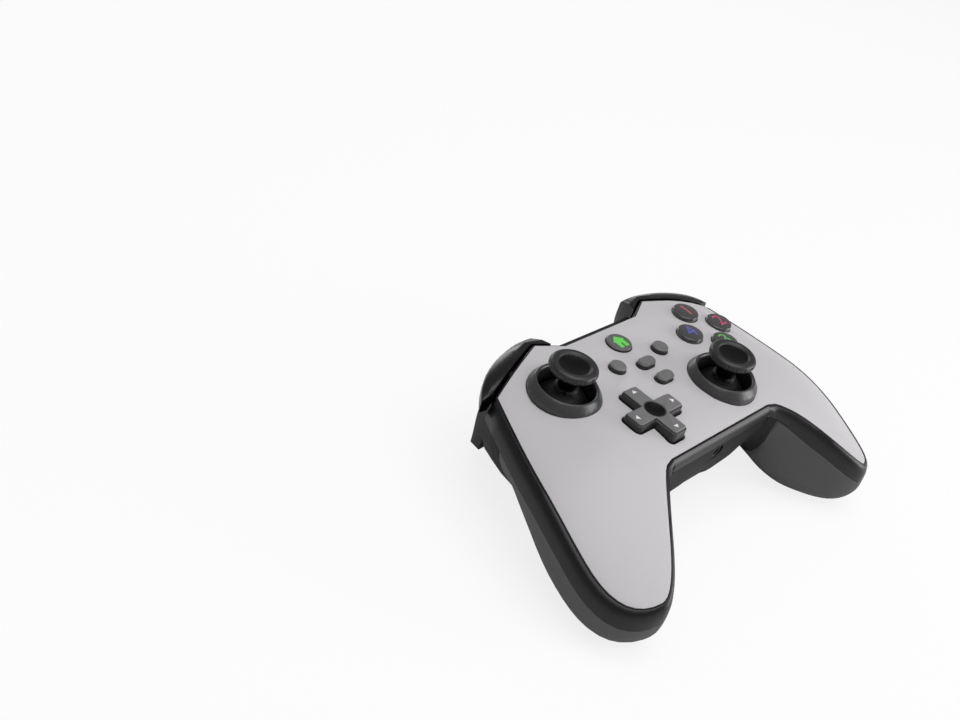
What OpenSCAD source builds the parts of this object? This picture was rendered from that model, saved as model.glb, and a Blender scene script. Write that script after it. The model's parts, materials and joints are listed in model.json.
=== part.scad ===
// Wireless gamepad: a two-handed game controller with two thumb sticks, a cross pad, four face
// buttons, five centre buttons, two bumpers and two triggers. Millimetres. X is to the player's
// right, Y points away from the player and Z is up. The ground is at Z = 0.

/* [Body] */
// Height of the flat part of the face above the ground
face_h = 43.2; // [42.4:0.2:44]
// Thickness of the face plate
plate_t = 1.8; // [1.5:0.1:2]
// Thickness of the deck that carries the face plate
deck_t = 2; // [1.8:0.1:2.2]
// Wall thickness of the shells
wall = 2; // [1.7:0.1:2.2]
// Gap between neighbouring fixed pieces
seam_gap = 0.15; // [0.1:0.05:0.2]
// Gap round the buttons
button_gap = 0.3; // [0.25:0.05:0.4]
// Radial clearance of pins and shafts in their bores
run_gap = 0.05; // [0.02:0.01:0.08]

/* [Outline of the face plate, right half] */
// Corner of the notch in the far edge, across
notch_x = 20; // [19:0.1:21]
// Corner of the notch in the far edge, along
notch_y = 39.2; // [38.8:0.1:39.6]
// Inner corner of the shoulder, across
shoulder_x = 30.4; // [30:0.1:31]
// Inner corner of the shoulder, along
shoulder_y = 44.4; // [44:0.1:44.8]
// Outer corner of the shoulder, across
corner_x = 58.8; // [58.4:0.1:59.4]
// Outer corner of the shoulder, along
corner_y = 33.4; // [33:0.1:33.8]
// End of the straight near edge, across
near_x = 27.9; // [27:0.1:28.8]
// End of the straight near edge, along
near_y = -17.6; // [-18.2:0.1:-17]
// Tip of the grip, across
tip_x = 62.3; // [61:0.1:64]
// Tip of the grip, along
tip_y = -48.5; // [-50:0.1:-47]
// Width of the bevelled band outside the plate
band_w = 3.4; // [3.2:0.1:4]
// Height of the bevelled band
band_h = 7.2; // [6.6:0.1:7.6]
// Width of the band along the near edge
near_w = 2.2; // [2:0.1:2.6]
// Height of the band along the near edge
near_h = 4.3; // [4.2:0.05:4.6]
// Width of the lip along the shoulders
lip_w = 1.2; // [1:0.1:1.4]
// Distance from the middle at which the face starts to fall to the sides
crown_x = 38; // [37:0.5:39]
// Place along Y at which the face starts to fall to the grips
droop_y = -0.6; // [-2:0.2:0]
// Lowest point of the rear shell at the grip tips
tip_low = 13; // [11:0.5:14]
// Lowest point of the rear shell between belly and grips
valley_h = 10.2; // [9:0.2:11]

/* [Thumb sticks] */
// Place of the left stick, across
left_stick_x = -39; // [-39.6:0.1:-38.4]
// Place of the left stick, along
left_stick_y = 22.2; // [21.6:0.1:22.8]
// Place of the right stick, across
right_stick_x = 21.2; // [20.6:0.1:21.8]
// Place of the right stick, along
right_stick_y = -1.1; // [-1.7:0.1:-0.5]
// Depth of the stick's pivot below the face
pivot_depth = 8.5; // [8.3:0.1:8.7]
// Radius of the thumb cap
cap_r = 8.5; // [8.1:0.1:8.8]
// Height of the cap's rim above the face
cap_rise = 10.1; // [9.7:0.1:10.8]
// Radius of the cap's rounded rim
rim_r = 1.7; // [1.4:0.1:1.9]
// Number of notches round the cap's rim
cap_notches = 16; // [8:1:24]
// Radius of the neck below the cap
neck_r = 3.3; // [3:0.1:3.6]
// Radius of the dust dome
dome_r = 10.6; // [10.4:0.1:10.7]
// Wall of the dust dome
dome_t = 1.1; // [0.9:0.1:1.2]
// Half angle that the dust dome covers
dome_angle = 66; // [62:1:67]
// Radius of the spindle
spindle_r = 1.5; // [1.3:0.1:1.6]
// Outer radius of the bezel ring
bezel_r = 12.9; // [12.7:0.1:13.3]
// Height of the bezel ring above the face
bezel_h = 3.2; // [2.8:0.1:3.4]
// Radius of the bezel's opening
bezel_open = 9.9; // [9.8:0.1:10.1]

/* [Cross pad] */
// Place of the cross pad, across
pad_x = -20.2; // [-20.6:0.1:-19.8]
// Place of the cross pad, along
pad_y = -1.3; // [-1.7:0.1:-0.9]
// Reach of an arm from the middle
pad_reach = 12; // [11.6:0.1:12.3]
// Width of an arm
pad_arm = 7.6; // [7.2:0.1:8]
// Height of the cross pad above the face
pad_rise = 2.9; // [2.7:0.1:3.2]
// Radius of the dish in the middle
dish_r = 4; // [3.6:0.1:4.4]
// Radius of the ball that the pad rocks on
ball_r = 2.2; // [2.1:0.1:2.4]
// Depth of the ball's middle below the face
ball_depth = 3.5; // [3.4:0.1:3.7]
// Angle that the pad rocks to each side
pad_tilt = 6; // [4:0.5:6]

/* [Buttons] */
// Middle of the four face buttons, across
cluster_x = 40.4; // [40:0.1:40.8]
// Middle of the four face buttons, along
cluster_y = 21.4; // [21:0.1:21.6]
// Distance of each face button from that middle
cluster_pitch = 9.6; // [9.5:0.1:9.9]
// Radius of a face button
button_r = 4.95; // [4.7:0.05:5]
// Height of a face button above the face
button_rise = 2; // [1.7:0.1:2.3]
// Travel of a face button
button_travel = 1.5; // [1.2:0.1:1.6]
// Place of the home button along Y
home_y = 30.8; // [30.5:0.1:31]
// Radius of the home button
home_r = 4.75; // [4.5:0.05:4.9]
// Height of the home button above the face
home_rise = 1.1; // [0.9:0.1:1.4]
// Place of the right one of the two small round buttons, across
round_x = 12.1; // [11.8:0.1:12.4]
// Place of the two small round buttons, along
round_y = 21.4; // [21.1:0.1:21.7]
// Radius of a small round button
round_r = 3; // [2.9:0.05:3.2]
// Place of the upper oblong button, along
upper_y = 18.1; // [17.8:0.1:18.3]
// Place of the lower oblong button, along
lower_y = 9.6; // [9.2:0.1:9.9]
// Length of an oblong button
oblong_l = 7.8; // [7.4:0.1:8.2]
// Width of an oblong button
oblong_w = 4.5; // [4.3:0.1:4.8]
// Height of the small buttons above the face
small_rise = 2.1; // [1.8:0.1:2.4]
// Travel of the home button and the small buttons
small_travel = 0.7; // [0.5:0.1:0.8]

/* [Bumpers and triggers] */
// Pin that the right bumper turns on, across
bumper_pin_x = 28; // [27.6:0.1:28.4]
// Pin that the right bumper turns on, along
bumper_pin_y = 47.4; // [47:0.1:47.8]
// Radius of the bumper's pin
bumper_pin_r = 1.25; // [1.1:0.05:1.4]
// Depth of the bumper's lower face below the face
bumper_low = 13; // [12.7:0.1:13.1]
// Angle that a bumper turns
bumper_travel = 0.8; // [0.6:0.1:1]
// Place along Y of the trigger's pin
trigger_y = 38; // [37.8:0.1:38.2]
// Depth of the trigger's pin below the face
trigger_z = 17; // [16.9:0.1:17.2]
// Radius of the trigger's pin
trigger_pin_r = 1.5; // [1.3:0.1:1.6]
// Inner side of the right trigger
trigger_in = 31.5; // [31.2:0.1:32]
// Outer side of the right trigger
trigger_out = 51; // [50.4:0.1:51.6]
// Depth of the trigger's lower tip below the face
trigger_tip = 34.5; // [33.5:0.5:36]

/* [Inside] */
// Depth of the board's top below the face
board_depth = 14; // [13.9:0.1:14.2]
// Thickness of the board
board_t = 1.6; // [1.2:0.2:1.6]
// Radius of the audio socket's bore
jack_r = 1.75; // [1.75:0.05:1.8]
// Depth of the audio socket's bore
jack_depth = 14; // [13:0.5:14]
// Depth of the audio socket's axis below the face
jack_z = 10.6; // [10.5:0.05:10.7]
// Length of the battery
battery_l = 44; // [40:1:46]
// Width of the battery
battery_w = 17; // [15:0.5:18]
// Height of the battery
battery_h = 8; // [6:0.5:8.5]
// Radius of the rumble motor's can
motor_r = 6; // [5:0.5:6.5]
// Length of the rumble motor's can
motor_l = 14; // [12:0.5:15]
// Radius of the rumble motor's weight
weight_r = 6.5; // [5.5:0.5:7]

/* [Hidden] */
$fn = 64;
eps = 0.01;

notch = [notch_x, notch_y];
shoulder = [shoulder_x, shoulder_y];
corner = [corner_x, corner_y];
near_end = [near_x, near_y];
tip = [tip_x, tip_y];
left_stick = [left_stick_x, left_stick_y];
right_stick = [right_stick_x, right_stick_y];
pad_at = [pad_x, pad_y];
cluster_at = [cluster_x, cluster_y];
home_at = [0, home_y];
round_at = [round_x, round_y];
oblong_size = [oblong_l, oblong_w];
bumper_pin_at = [bumper_pin_x, bumper_pin_y];
trigger_x = [trigger_in, trigger_out];

// Curvature of the face towards the sides and towards the grips, where it runs straight at last
crown_k = 0.0086;
droop_k = 0.0084;
droop_run = 26.7;
// How far the outer and inner grip curves reach from their ends
outer_reach = [[12.5, -31.9], [23.6, 5]];
inner_reach = [[10.3, -9.1], [-6.4, -1.35]];
// The corner between near edge and grip
turn_size = [7.2, -3.2];
turn_t = 0.16;
// Stations along the grip: the shoulder ends after the second one
shoulder_t = [0, 0.008, 0.016];
grip_n = 22;
split_t = 0.11;
// Steps across the plate and across the rear shell
face_m = 8;
rear_m = 14;
// Wall of the trigger bay, and the opening for the bridge
bay_inset = 10.5;
bay_slope = 0.07;
bridge_low = 20;
bridge_inset = 0.5;
// Roundness of the rear shell: of the body towards the far and near edge, of the grip's outer side
// where it starts and where it ends, of the grip's inner side, and of its tip
body_round = 2.4;
near_round = 1.9;
start_round = 1.4;
end_round = 2.6;
inner_round = 3.6;
tip_round = 2.2;
belly_sink = -2;
// Profile of the band: share of its width and of its height
band_profile = [[1, 1], [0.93, 0.55], [0.66, 0.2], [0.3, 0.03], [0, 0]];

seat = plate_t + seam_gap;
lip_h = seat + deck_t + 0.15;
board_z = face_h - board_depth;
membrane_t = 1.2;
stem_gap = 0.3;

function mix(a, b, t) = a + (b - a) * t;
function smooth(t) = let (c = max(0, min(1, t))) c * c * (3 - 2 * c);
function unit(v) = v / norm(v);
function perp(v) = [-v[1], v[0]];
function rev(l) = [for (i = [len(l) - 1:-1:0]) l[i]];
function line(a, b, n) = [for (i = [0:n - 1]) mix(a, b, i / n)];
function bez(p, t) = let (s = 1 - t)
    s * s * s * p[0] + 3 * s * s * t * p[1] + 3 * s * t * t * p[2] + t * t * t * p[3];
function bez_points(p, n) = [for (i = [0:n]) bez(p, i / n)];

// Height of the face at a point: flat in the middle, falling to the sides and down the grips
function drop(p) = let (u = max(0, abs(p[0]) - crown_x), w = max(0, droop_y - p[1]),
    r = min(w, droop_run))
    crown_k * u * u + droop_k * r * (2 * w - r);
function face_z(p) = face_h - drop(p);

// Height of a membrane's dome and depth of the stem above it, for a button's travel
function dome_h(travel) = travel + stem_gap;
function stem_end(travel) = board_depth - membrane_t - dome_h(travel) - stem_gap;

// Right half of the plate's outline, as stations from the middle to the grip tip. Each station
// has a point on the outer edge and a point on the inner edge, and the surfaces span between them.
outer_grip = [corner, corner + outer_reach[0], tip + outer_reach[1], tip];
turn = near_end + turn_size;
inner_turn = [near_end, near_end + [3, 0], near_end + [5, -1], turn];
inner_grip = [turn, turn + inner_reach[0], tip + inner_reach[1], tip];
grip_t = concat(shoulder_t, [for (i = [2:grip_n]) i / grip_n]);
function inner_at(t) = t < turn_t ? bez(inner_turn, t / turn_t)
    : bez(inner_grip, (t - turn_t) / (1 - turn_t));
notch_n = 3;
shoulder_i = notch_n + 2;
corner_i = shoulder_i + 5;
outer_half = concat(line([0, notch[1]], notch, notch_n), line(notch, shoulder, 2),
    line(shoulder, corner, 5), [for (t = grip_t) bez(outer_grip, t)]);
inner_half = concat(line([0, near_end[1]], near_end, corner_i), [for (t = grip_t) inner_at(t)]);
station_t = concat([for (i = [0:corner_i - 1]) i / corner_i - 1], grip_t);
last = len(station_t) - 1;
function along(p, i) = unit(p[min(i + 1, last)] - p[max(i - 1, 0)]);
outer_n = [for (i = [0:last]) i == 0 ? [0, 1] : perp(along(outer_half, i))];
inner_n = [for (i = [0:last]) i == last ? outer_n[i] : i == 0 ? [0, -1] : -perp(along(inner_half, i))];
tip_w = 2.4;
narrow_t = 0.6;
outer_w = [for (i = [0:last]) i <= corner_i + 1 ? lip_w
    : mix(band_w, tip_w, smooth((station_t[i] - narrow_t) / (1 - narrow_t)))];
outer_h = [for (i = [0:last]) i <= corner_i + 1 ? lip_h : band_h];
widen_t = 0.43;
inner_w = [for (t = station_t) mix(near_w, tip_w, smooth(t / widen_t))];
inner_h = [for (t = station_t) mix(near_h, band_h, smooth(t / widen_t))];

function flip(p, s) = [s * p[0], p[1], p[2]];
function station(k) = [abs(k - last), k < last ? -1 : 1];
function off(p, n, w, z) = [p[0] + n[0] * w, p[1] + n[1] * w, z];
stations = [0:2 * last];

// Closed solid through a row of closed loops. A map folds an end loop together, or leaves it
// open for a flat end between the loop's first and second half.
module loft(loops, first_map, last_map, turned = false) {
    n = len(loops);
    m = len(loops[0]);
    function id(k, j) = k * m + (k == 0 ? first_map[j] : k == n - 1 ? last_map[j] : j);
    quads = [for (k = [0:n - 2], j = [0:m - 1])
        [id(k, j), id(k, (j + 1) % m), id(k + 1, (j + 1) % m), id(k + 1, j)]];
    sides = [for (i = [0:len(quads) - 1]) let (q = quads[i])
        each i < len(quads) / 2 ? [[q[0], q[1], q[2]], [q[0], q[2], q[3]]]
            : [[q[0], q[1], q[3]], [q[1], q[2], q[3]]]];
    half = m / 2;
    function end(k) = [for (j = [0:half - 2]) let (a = k * m + j, b = k * m + m - 1 - j)
        each [[a, b - 1, a + 1], [a, b, b - 1]]];
    first_end = first_map[half - 1] == half - 1 ? end(0) : [];
    last_end = last_map[half - 1] == half - 1 ? [for (f = end(n - 1)) rev(f)] : [];
    faces = [for (f = concat(sides, first_end, last_end))
        if (f[0] != f[1] && f[1] != f[2] && f[2] != f[0]) turned ? rev(f) : f];
    polyhedron([for (l = loops) each l], faces);
}

// Small shapes that repeat
module at_face(p, z = 0) { translate([p[0], p[1], face_h + z]) children(); }
module both_sides() { children(); mirror([1, 0, 0]) children(); }
module along_y(r, y0, y1) { translate([0, y0, 0]) rotate([-90, 0, 0]) cylinder(r = r, h = y1 - y0); }
module along_x(r, x0, x1) { translate([x0, 0, 0]) rotate([0, 90, 0]) cylinder(r = r, h = x1 - x0); }
module round_rect(size, r) {
    square([size[0] - 2 * r, size[1]], center = true);
    square([size[0], size[1] - 2 * r], center = true);
    for (x = [-1, 1], y = [-1, 1]) translate([x * (size[0] / 2 - r), y * (size[1] / 2 - r)]) circle(r);
}
module stadium(size) { round_rect(size, size[1] / 2 - eps); }
module cross(gap = 0) {
    r = 1.6 + gap;
    round_rect([2 * (pad_reach + gap), pad_arm + 2 * gap], r);
    round_rect([pad_arm + 2 * gap, 2 * (pad_reach + gap)], r);
}

// Places of the face buttons, in the order top, right, bottom, left
button_at = [for (d = [[0, 1], [1, 0], [0, -1], [-1, 0]]) cluster_at + cluster_pitch * d];
round_places = [[-round_at[0], round_at[1]], round_at];
oblong_places = [[0, upper_y], [0, lower_y]];

// Every opening for a control, through plate or deck
module control_openings(bezel_hole_r) {
    for (p = [left_stick, right_stick]) at_face(p, -20) cylinder(r = bezel_hole_r, h = 30);
    at_face(pad_at, -20) linear_extrude(30) cross(pad_gap);
    for (p = button_at) at_face(p, -20) cylinder(r = button_r + button_gap, h = 30);
    at_face(home_at, -20) cylinder(r = home_r + button_gap, h = 30);
    for (p = round_places) at_face(p, -20) cylinder(r = round_r + button_gap, h = 30);
    for (p = oblong_places) at_face(p, -20) linear_extrude(30)
        stadium(oblong_size + [2, 2] * button_gap);
}

// Face plate: a thin sheet over the whole top that follows the crown of the face
function plate_loop(k) = let (s = station(k), i = s[0],
    o = outer_half[i] - outer_n[i] * seam_gap, e = inner_half[i] - inner_n[i] * seam_gap,
    top = [for (j = [0:face_m]) let (p = mix(o, e, j / face_m)) flip([p[0], p[1], face_z(p)], s[1])])
    concat(top, [for (p = rev(top)) p - [0, 0, plate_t]]);
plate_fold = concat([for (j = [0:face_m]) 0], [for (j = [0:face_m]) 2 * face_m + 1]);
module face_plate() {
    color("#c4c2c3") difference() {
        loft([for (k = stations) plate_loop(k)], plate_fold, plate_fold, true);
        control_openings(bezel_r + seam_gap);
    }
}

// Front shell: the bevelled band round the plate and the deck below it, open underneath
function band(p, n, w, h) = [for (b = band_profile) off(p, n, w * b[0], face_z(p) - h * b[1])];
function inside(p, n, w, h) = [off(p, n, w - wall, face_z(p) - h),
    off(p, n, w - wall - 0.6, face_z(p) - mix(seat + deck_t, h, 0.4))];
under_m = 6;
function sheet(o, e, m, depth) = [for (j = [0:m]) let (p = mix(o, e, j / m))
    [p[0], p[1], face_z(p) - depth]];
function front_loop(k) = let (s = station(k), i = s[0], o = outer_half[i], e = inner_half[i],
    no = outer_n[i], ne = inner_n[i])
    [for (p = concat(band(o, no, outer_w[i], outer_h[i]), sheet(o, e, face_m, seat),
        rev(band(e, ne, inner_w[i], inner_h[i])), inside(e, ne, inner_w[i], inner_h[i]),
        sheet(e - ne, o - no, under_m, seat + deck_t), rev(inside(o, no, outer_w[i], outer_h[i]))))
        flip(p, s[1])];
band_n = len(band_profile);
ring_n = 2 * band_n + face_m + 1;
front_fold = concat([for (j = [0:band_n - 1]) j], [for (j = [0:face_m]) band_n],
    [for (j = [band_n - 1:-1:0]) j], [ring_n, ring_n + 1], [for (j = [0:under_m]) ring_n + 2],
    [ring_n + 1, ring_n]);

module front_shell() {
    color("#1d1d1f") difference() {
        union() {
            loft([for (k = stations) front_loop(k)], front_fold, front_fold, true);
            both_sides() for (n = [0:1]) {
                low = screw_floor[n] + well_depth + well_t + seam_gap;
                translate([screw_places[n][0], screw_places[n][1], low])
                    cylinder(r = post_r, h = post_top(screw_places[n]) - low);
            }
            both_sides() translate([screw_places[0][0], screw_places[0][1], board_z + run_gap])
                cylinder(r = post_r + shoulder_w,
                    h = board_depth - seat - deck_t / 2 - drop(screw_places[0]));
        }
        control_openings(bezel_open + 1.7);
        both_sides() for (n = [0:1]) translate([screw_places[n][0], screw_places[n][1], 0])
            cylinder(r = screw_r + run_gap, h = screw_floor[n] + well_depth + 12);
    }
}

// Rear shells: bowls that hang below the band, with a recess for each trigger
function bulge(v, ro, re) = let (c = abs(2 * v - 1), r = v < 0.5 ? ro : re)
    pow(max(0, 1 - pow(c, r)), 1 / r);
bay_y = shoulder[1] - bay_inset;
function bay(i) = [outer_half[i][0] - (i < corner_i ? 2 : 1),
    bay_y - bay_slope * (outer_half[i][0] - notch[0])];
rear_outer = [for (i = [0:last]) i <= notch_n ? [outer_half[i][0], notch[1] + bridge_inset]
    : i <= corner_i + 1 ? bay(i) : outer_half[i] + outer_n[i] * outer_w[i]];
rear_inner = [for (i = [0:last]) inner_half[i] + inner_n[i] * inner_w[i]];
bay_rim = board_depth + 0.6;
rear_zo = [for (i = [0:last]) i <= notch_n ? face_h - bridge_low
    : i <= corner_i + 1 ? face_h - bay_rim : face_z(outer_half[i]) - outer_h[i] - seam_gap];
rear_zi = [for (i = [0:last]) face_z(inner_half[i]) - inner_h[i] - seam_gap];
flat_t = 0.46;
function floor_at(t) = t < 0 ? mix(belly_sink, valley_h, smooth(2 * t + 1))
    : t < flat_t ? mix(valley_h, 0, smooth(t / flat_t)) : tip_low * pow((t - flat_t) / (1 - flat_t), 2.5);
function outer_round(t) = t < 0.2 ? mix(body_round, start_round, smooth(t / 0.2))
    : t < 0.8 ? mix(start_round, end_round, (t - 0.2) / 0.6) : mix(end_round, tip_round, (t - 0.8) / 0.2);
function near_side_round(t) = t < 0.75 ? mix(near_round, inner_round, smooth(t / 0.3))
    : mix(inner_round, tip_round, smooth((t - 0.75) / 0.25));
function rear_profile(i, inset) = let (t = station_t[i],
    o = rear_outer[i] - outer_n[i] * inset, e = rear_inner[i] - inner_n[i] * inset)
    [for (j = [0:rear_m]) let (v = (1 - cos(180 * j / rear_m)) / 2, p = mix(o, e, v),
        rim = mix(rear_zo[i], rear_zi[i], v), low = floor_at(t) + inset,
        z = rim - (rim - low) * bulge(v, outer_round(t), near_side_round(t)))
        [p[0], p[1], max(z, inset)]];
function rear_loop(k) = let (s = station(k))
    [for (p = concat(rear_profile(s[0], 0), rev(rear_profile(s[0], wall)))) flip(p, s[1])];
rear_fold = concat([for (j = [0:rear_m]) min(j, rear_m - j)],
    [for (j = [0:rear_m]) 2 * rear_m + 1 - min(j, rear_m - j)]);
rear_open = [for (j = [0:2 * rear_m + 1]) j];
split_i = [for (i = [0:last]) if (station_t[i] >= split_t) i][0];

// Screw posts below the deck, on the middle line of the shell, two on each side
screw_stations = [corner_i + 2.45, last - 8];
function between(l, k) = mix(l[floor(k)], l[ceil(k)], k - floor(k));
function middle(k) = mix(between(rear_outer, k), between(rear_inner, k), 0.5);
screw_places = [for (k = screw_stations) middle(k)];
screw_floor = [for (k = screw_stations) floor_at(between(station_t, k))];
post_r = 2.6;
screw_r = 1.2;
screw_head_r = 2.4;
shoulder_w = 1.5;
well_depth = 5;
well_t = 1.6;
function post_top(p) = min([for (a = [0:45:315]) face_z(p + post_r * [cos(a), sin(a)])]) - seat - 0.3;

// Screw wells rise inside a rear shell and are sunk from below
module well(n) {
    translate([screw_places[n][0], screw_places[n][1], screw_floor[n] + wall / 2])
        cylinder(r = screw_head_r + 1.6, h = well_depth + well_t - wall / 2);
}
module well_bore(n) {
    translate([screw_places[n][0], screw_places[n][1], -1]) {
        cylinder(r = screw_head_r + 0.3, h = 1 + screw_floor[n] + well_depth);
        cylinder(r = screw_r + 0.2, h = 20);
    }
}
jack_y = rear_inner[0][1];
battery_y = 10.5;
rail_l = 20;
rail_t = 1.6;
rail_h = 1.7;
module rear_cover() {
    color("#2e2e30") difference() {
        union() {
            loft([for (k = [last - split_i:last + split_i]) rear_loop(k)], rear_open, rear_open);
            both_sides() well(0);
            for (y = [-1, 1] * battery_w / 4) translate([-rail_l / 2, battery_y + y - rail_t / 2, wall - eps])
                cube([rail_l, rail_t, rail_h + eps]);
        }
        both_sides() well_bore(0);
        at_face([0, jack_y], -jack_z) along_y(jack_flange_r + seam_gap, -2, 6);
    }
}
// The grips start a seam behind the rear cover's ends
grip_k = last + split_i;
seam_share = seam_gap / norm(rear_inner[split_i + 1] - rear_inner[split_i]);
module grip() {
    difference() {
        union() {
            loft(concat([mix(rear_loop(grip_k), rear_loop(grip_k + 1), seam_share)],
                [for (k = [grip_k + 1:2 * last]) rear_loop(k)]), rear_open, rear_fold);
            well(1);
        }
        well_bore(1);
    }
}
module left_grip() { color("#3b3b3d") mirror([1, 0, 0]) grip(); }
module right_grip() { color("#3b3b3d") grip(); }
screw_l = 11;
module case_screws() {
    color("#8a8a8c") both_sides() for (n = [0:1])
        translate([screw_places[n][0], screw_places[n][1], screw_floor[n] + well_depth]) {
            cylinder(r = screw_r, h = screw_l);
            difference() {
                translate([0, 0, -1.6]) cylinder(r = screw_head_r, h = 1.6);
                for (a = [0, 90]) rotate(a) translate([-1.4, -0.35, -1.7]) cube([2.8, 0.7, 1]);
            }
        }
}

// Bridge between the bumpers: it closes the far edge, holds the bumper pins and frames the
// charging socket
bridge_y = [notch[1] + bridge_inset + seam_gap, notch[1] + 4.5];
bridge_z = [bridge_low - seam_gap, lip_h + seam_gap];
bridge_half = notch[0] + 2.8;
usb_size = [8.94, 3.2];
usb_z = board_depth - usb_size[1] / 2;
ear_t = 2.6;
ear_gap = 0.3;
module bridge() {
    color("#161617") difference() {
        union() {
            translate([-bridge_half, bridge_y[0], face_h - bridge_z[0]])
                cube([2 * bridge_half, bridge_y[1] - bridge_y[0], bridge_z[0] - bridge_z[1]]);
            both_sides() translate([0, 0, face_h - bumper_low - ear_gap - ear_t]) linear_extrude(ear_t)
                hull() {
                    translate(bumper_pin_at) circle(bumper_pin_r + 1.6, $fn = 32);
                    translate([bridge_half - 4, bridge_y[0]]) square([4, bridge_y[1] - bridge_y[0]]);
                }
        }
        both_sides() translate(bumper_pin_at) cylinder(r = bumper_pin_r, h = face_h);
        translate([0, 0, face_h - usb_z]) rotate([90, 0, 0]) translate([0, 0, -bridge_y[1] - 1])
            linear_extrude(bridge_y[1]) stadium(usb_size + [2, 2] * seam_gap);
        // Groove along the front of the bridge
        translate([-bridge_half - 1, bridge_y[1] - 0.5, face_h - bumper_low - 4])
            cube([2 * bridge_half + 2, 1, 0.8]);
    }
}

// Bumpers: a lofted wedge along each shoulder that turns on an upright pin at its inner end
bumper_edge = [mix(notch, shoulder, 0.4), shoulder, corner];
bumper_outer = [bumper_pin_at + [-2, 3.1], shoulder + [5.8, 6.9], corner + [-3.6, 13.4], corner + [5, 2]];
bumper_profile = [[0, -0.3], [0.42, -0.5], [0.92, -2.2], [1, -3.4], [1, -7.5]];
bumper_thin = 0.5;
bumper_gap = 0.35;
bumper_bore = 8;
bumper_under = [[0.985, 0.78], [0.93, 0.94], [0.8, 1], [0.5, 1], [0, 1]];
bumper_n = 14;
bend_t = 3 / bumper_n;
function edge_at(t) = t < bend_t ? mix(bumper_edge[0], bumper_edge[1], t / bend_t)
    : mix(bumper_edge[1], bumper_edge[2], (t - bend_t) / (1 - bend_t));
function edge_out(t) = let (a = perp(unit(bumper_edge[1] - bumper_edge[0])),
    b = perp(unit(bumper_edge[2] - bumper_edge[1]))) unit(t < bend_t ? a : t > bend_t ? b : a + b);
function bumper_loop(k) = let (t = k / bumper_n, e = edge_at(t), f = bez(bumper_outer, t),
    swing = norm(bumper_outer[3] - bumper_pin_at) * t * sin(bumper_travel),
    b = e + edge_out(t) * (lip_w + bumper_gap + swing), top = face_z(e),
    thin = mix(1, bumper_thin, smooth(2 * t - 1)),
    low = mix(face_h, top, (1 - thin) / (1 - bumper_thin)) - thin * bumper_low)
    concat([for (q = bumper_profile) let (p = mix(b, f, q[0])) [p[0], p[1], top + thin * q[1]]],
        [for (q = bumper_under) let (p = mix(b, f, q[0]))
            [p[0], p[1], mix(top + thin * bumper_profile[4][1], low, (q[1] - 0.6) / 0.4)]]);
bumper_open = [for (j = [0:2 * len(bumper_profile) - 1]) j];
module bumper() {
    difference() {
        loft([for (k = [0:bumper_n]) bumper_loop(k)], bumper_open, bumper_open);
        translate([bumper_pin_at[0], bumper_pin_at[1], face_h - bumper_low - 1])
            cylinder(r = bumper_pin_r + run_gap, h = bumper_bore + 1);
    }
}
module left_bumper() { color("#19191b") mirror([1, 0, 0]) bumper(); }
module right_bumper() { color("#19191b") bumper(); }
module bumper_pins() {
    color("#9a9a9c") both_sides() translate([bumper_pin_at[0], bumper_pin_at[1],
        face_h - bumper_low - ear_gap - ear_t])
            cylinder(r = bumper_pin_r, h = ear_t + bumper_bore);
}

// Triggers: a curved paddle that leans forward towards the middle, on a hub that turns on a pin
hub_r = 3.2;
trigger_front = [[0, hub_r - trigger_z], [9.5, hub_r - trigger_z], [5.5, -trigger_z - 7],
    [5.3, -trigger_tip]];
trigger_back = [[1, -trigger_tip - 0.4], [0.5, -trigger_tip + 4], [1.5, -trigger_z - 8],
    [0, -trigger_z - hub_r]];
trigger_lean = 0.04;
trigger_n = 6;
curve_n = 10;
trigger_open = [for (j = [0:2 * curve_n + 1]) j];
function trigger_loop(k) = let (x = mix(trigger_x[0], trigger_x[1], k / trigger_n),
    lean = 1 + trigger_lean * (trigger_x[1] - x))
    [for (p = concat(bez_points(trigger_front, curve_n), bez_points(trigger_back, curve_n)))
        [x, trigger_y + p[0] * lean, face_h + p[1]]];
module at_hub() { translate([0, trigger_y, face_h - trigger_z]) children(); }
module trigger() {
    difference() {
        union() {
            loft([for (k = [0:trigger_n]) trigger_loop(k)], trigger_open, trigger_open);
            at_hub() along_x(hub_r, trigger_x[0], trigger_x[1]);
        }
        at_hub() along_x(trigger_pin_r + run_gap, trigger_x[0] - 1, trigger_x[1] + 1);
        // Pocket for the return spring
        at_hub() along_x(hub_r - 0.6, trigger_x[0] - 1, trigger_x[0] + spring_l);
    }
}
spring_l = 5;
module left_trigger() { color("#19191b") mirror([1, 0, 0]) trigger(); }
module right_trigger() { color("#19191b") trigger(); }

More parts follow.
